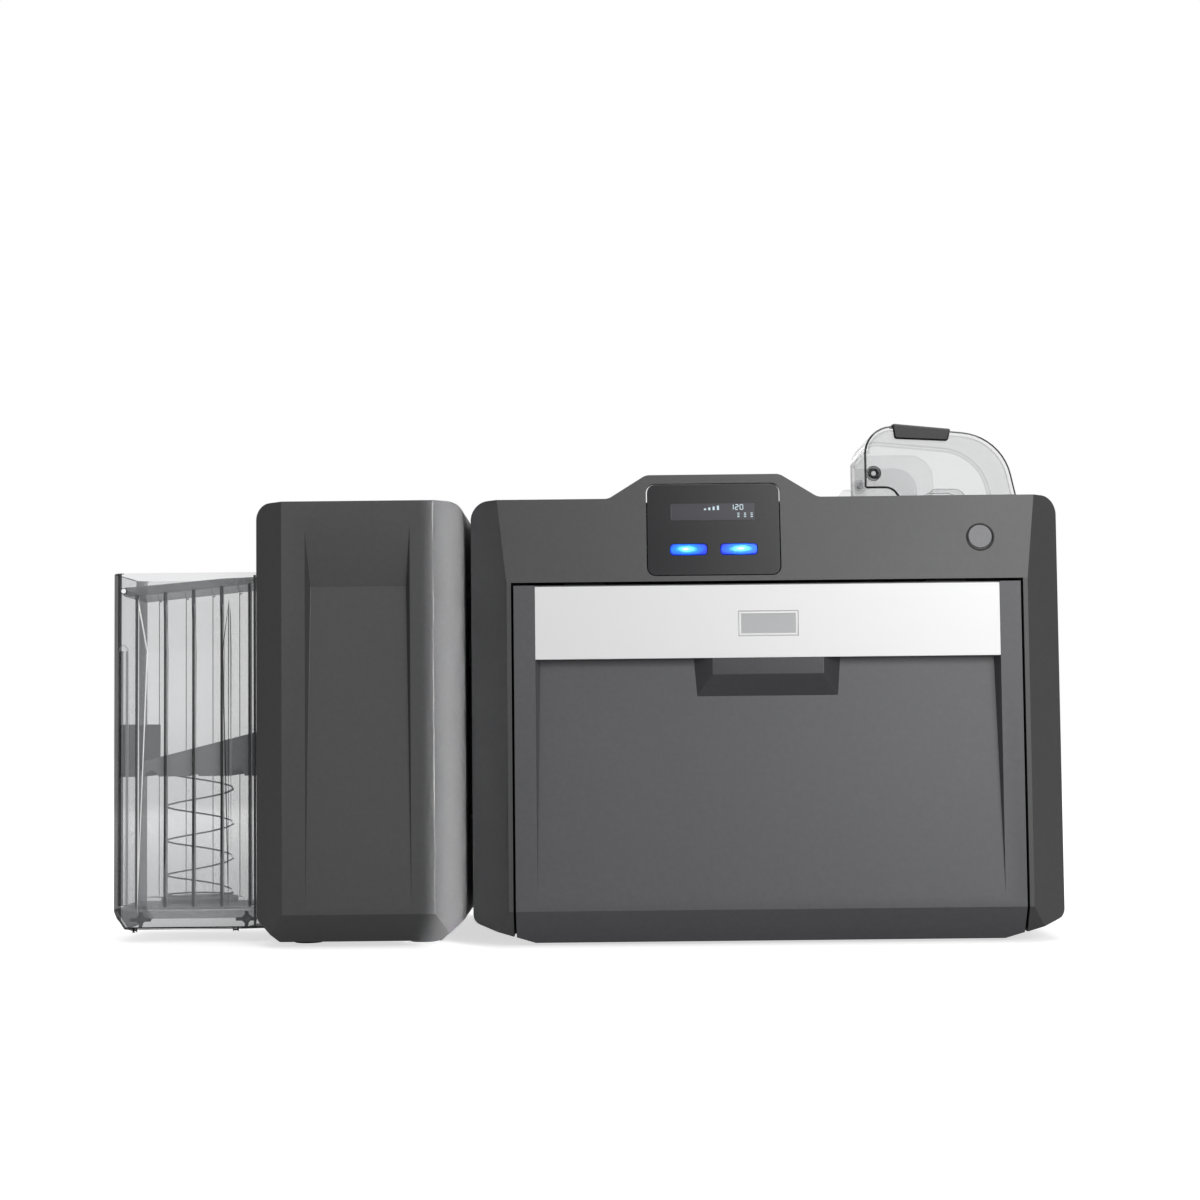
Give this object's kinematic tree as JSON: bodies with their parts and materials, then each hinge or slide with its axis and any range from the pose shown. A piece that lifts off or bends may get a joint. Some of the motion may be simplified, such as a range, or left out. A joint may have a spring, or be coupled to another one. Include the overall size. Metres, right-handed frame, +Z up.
{
  "type": "id card printer",
  "caption": "Desktop retransfer card printer with hinged front door, display panel, clear domed card feeder, two-sided flipping module and clear card bin with sprung platform.",
  "frame": {"origin": "middle of the footprint, on the surface that the feet stand on", "axes": "+Z up, +X to the right seen from the front, the door and display face -Y"},
  "size_m": [0.5856, 0.244, 0.3195],
  "materials": {
    "casing_grey": "fine moulded texture, dark grey",
    "door_grey": "smooth satin, dark grey",
    "bright_strip": "fine silver paint",
    "display_black": "glossy black",
    "key_blue": "translucent, lit blue",
    "clear_smoke": "clear, faintly smoked",
    "mid_grey": "satin grey",
    "light_plastic": "light grey",
    "black_plastic": "black",
    "sheet_steel": "zinc-plated sheet",
    "shaft_steel": "ground",
    "heatsink": "extruded",
    "roller_rubber": "soft, matt",
    "foot_rubber": "matt",
    "dye_ribbon": "thin coloured film",
    "dye_dark": "thin coloured film, used",
    "clear_film": "thin clear film",
    "circuit_board": "green lacquer",
    "pinion_brass": "machined"
  },
  "bodies": {
    "root": {"front_frame": "casing_grey", "main_case": "casing_grey", "base_pan": "sheet_steel", "feet": "foot_rubber", "door_hinge_brackets": "sheet_steel", "door_hinge_pins": "shaft_steel", "door_magnets": "black_plastic", "display_module": "display_black", "control_board": "circuit_board", "feeder_base": "clear_smoke", "cover_hinge_pin": "shaft_steel", "chassis_plate": "sheet_steel", "cartridge_shelf": "sheet_steel", "ribbon_tray": "light_plastic", "ribbon_web": "dye_dark", "film_tray": "mid_grey", "film_web": "clear_film", "print_head": "heatsink", "pinch_rollers": "shaft_steel", "drive_belt": "roller_rubber", "drive_motor": "black_plastic", "main_board": "circuit_board", "power_supply": "sheet_steel", "fan_frame": "black_plastic", "rear_panel": "sheet_steel", "module_cover": "casing_grey", "module_case": "casing_grey", "lid_hinge_pin": "shaft_steel", "flip_mount": "sheet_steel", "module_link": "black_plastic", "card_bin": "clear_smoke", "deflector_pin": "shaft_steel", "platform_spring": "shaft_steel", "spring_seat": "clear_smoke"},
    "door": {"front_door": "door_grey", "door_liner": "black_plastic", "silver_trim": "bright_strip", "door_handle": "casing_grey"},
    "left_key": {"left_key": "key_blue"},
    "right_key": {"right_key": "key_blue"},
    "power_button": {"power_button": "mid_grey"},
    "feeder_cover": {"feeder_cover": "clear_smoke", "cover_grip": "mid_grey"},
    "card_weight": {"card_weight": "clear_smoke"},
    "feed_roller": {"feed_roller": "roller_rubber"},
    "card_roller_left": {"card_roller_left": "roller_rubber"},
    "card_roller_right": {"card_roller_right": "roller_rubber"},
    "transfer_roller": {"transfer_roller": "roller_rubber"},
    "platen_roller": {"platen_roller": "roller_rubber"},
    "motor_pinion": {"motor_pinion": "pinion_brass"},
    "ribbon_supply": {"ribbon_supply_spool": "dye_ribbon"},
    "ribbon_takeup": {"ribbon_takeup_spool": "dye_dark"},
    "film_supply": {"film_supply_spool": "clear_film"},
    "film_takeup": {"film_takeup_spool": "clear_film"},
    "fan_rotor": {"fan_rotor": "black_plastic"},
    "power_switch": {"power_switch": "black_plastic"},
    "module_lid": {"module_lid": "casing_grey"},
    "flip_table": {"flip_table": "mid_grey"},
    "bin_deflector": {"bin_deflector": "mid_grey"},
    "card_platform": {"card_platform": "mid_grey"}
  },
  "joints": [
    {"name": "door_hinge", "type": "hinge", "parent": "root", "child": "door", "pos_m": [0.11375, -0.104, 0.02], "axis": [1, 0, 0], "range_deg": [0, 88]},
    {"name": "left_key_press", "type": "slide", "parent": "root", "child": "left_key", "axis": [0, 0.9935, -0.1137], "range_m": [0, 0.0008], "stiffness_N_per_m": 400, "springref_m": -0.0004},
    {"name": "right_key_press", "type": "slide", "parent": "root", "child": "right_key", "axis": [0, 0.9935, -0.1137], "range_m": [0, 0.0008], "stiffness_N_per_m": 400, "springref_m": -0.0004},
    {"name": "power_button_press", "type": "slide", "parent": "root", "child": "power_button", "axis": [0, 0.9935, -0.1137], "range_m": [0, 0.0012], "stiffness_N_per_m": 500, "springref_m": -0.0004},
    {"name": "feeder_cover_hinge", "type": "hinge", "parent": "root", "child": "feeder_cover", "pos_m": [0.18655, -0.023, 0.2885], "axis": [0, -1, 0], "range_deg": [0, 80]},
    {"name": "card_weight_slide", "type": "slide", "parent": "root", "child": "card_weight", "axis": [0, 0, 1], "range_m": [0, 0.025]},
    {"name": "feed_roller_spin", "type": "hinge", "parent": "root", "child": "feed_roller", "pos_m": [0.20845, -0.023, 0.2104], "axis": [0, 1, 0], "continuous": true},
    {"name": "card_roller_left_spin", "type": "hinge", "parent": "root", "child": "card_roller_left", "pos_m": [-0.02325, -0.023, 0.2104], "axis": [0, 1, 0], "continuous": true},
    {"name": "card_roller_right_spin", "type": "hinge", "parent": "root", "child": "card_roller_right", "pos_m": [0.17375, -0.023, 0.2104], "axis": [0, 1, 0], "continuous": true},
    {"name": "transfer_roller_spin", "type": "hinge", "parent": "root", "child": "transfer_roller", "pos_m": [0.11375, -0.023, 0.2084], "axis": [0, 1, 0], "continuous": true},
    {"name": "platen_roller_spin", "type": "hinge", "parent": "root", "child": "platen_roller", "pos_m": [0.11375, -0.023, 0.13], "axis": [0, 1, 0], "continuous": true},
    {"name": "motor_pinion_spin", "type": "hinge", "parent": "root", "child": "motor_pinion", "pos_m": [0.1332, -0.023, 0.18896], "axis": [0, 1, 0], "continuous": true},
    {"name": "ribbon_supply_spin", "type": "hinge", "parent": "root", "child": "ribbon_supply", "pos_m": [-0.00325, -0.023, 0.064], "axis": [0, 1, 0], "continuous": true},
    {"name": "ribbon_takeup_spin", "type": "hinge", "parent": "root", "child": "ribbon_takeup", "pos_m": [-0.00325, -0.023, 0.15], "axis": [0, 1, 0], "continuous": true},
    {"name": "film_supply_spin", "type": "hinge", "parent": "root", "child": "film_supply", "pos_m": [0.21475, -0.023, 0.064], "axis": [0, 1, 0], "continuous": true},
    {"name": "film_takeup_spin", "type": "hinge", "parent": "root", "child": "film_takeup", "pos_m": [0.21475, -0.023, 0.15], "axis": [0, 1, 0], "continuous": true},
    {"name": "fan_spin", "type": "hinge", "parent": "root", "child": "fan_rotor", "pos_m": [-0.00325, 0.109, 0.15], "axis": [0, 1, 0], "continuous": true},
    {"name": "power_switch_rock", "type": "hinge", "parent": "root", "child": "power_switch", "pos_m": [0.14375, 0.115, 0.054], "axis": [1, 0, 0], "range_deg": [0, 10]},
    {"name": "module_lid_hinge", "type": "hinge", "parent": "root", "child": "module_lid", "pos_m": [-0.133, 0.098, 0.263], "axis": [-1, 0, 0], "range_deg": [0, 75]},
    {"name": "flip_table_turn", "type": "hinge", "parent": "root", "child": "flip_table", "pos_m": [-0.133, -0.023, 0.219], "axis": [0, 1, 0], "range_deg": [-180, 180]},
    {"name": "deflector_swing", "type": "hinge", "parent": "root", "child": "bin_deflector", "pos_m": [-0.2856, -0.023, 0.2191], "axis": [0, -1, 0], "range_deg": [0, 12]},
    {"name": "platform_slide", "type": "slide", "parent": "root", "child": "card_platform", "axis": [0, 0, -1], "range_m": [0, 0.056], "stiffness_N_per_m": 30, "springref_m": -0.06, "deforming": ["platform_spring"]}
  ],
  "couplings": [
    {"joint": "motor_pinion_spin", "follows": "transfer_roller_spin", "ratio": -2.6667},
    {"joint": "card_roller_left_spin", "follows": "transfer_roller_spin", "ratio": 1},
    {"joint": "card_roller_right_spin", "follows": "transfer_roller_spin", "ratio": 1},
    {"joint": "feed_roller_spin", "follows": "transfer_roller_spin", "ratio": 1},
    {"joint": "ribbon_takeup_spin", "follows": "ribbon_supply_spin", "ratio": 1.7333},
    {"joint": "film_takeup_spin", "follows": "film_supply_spin", "ratio": 1.75}
  ]
}
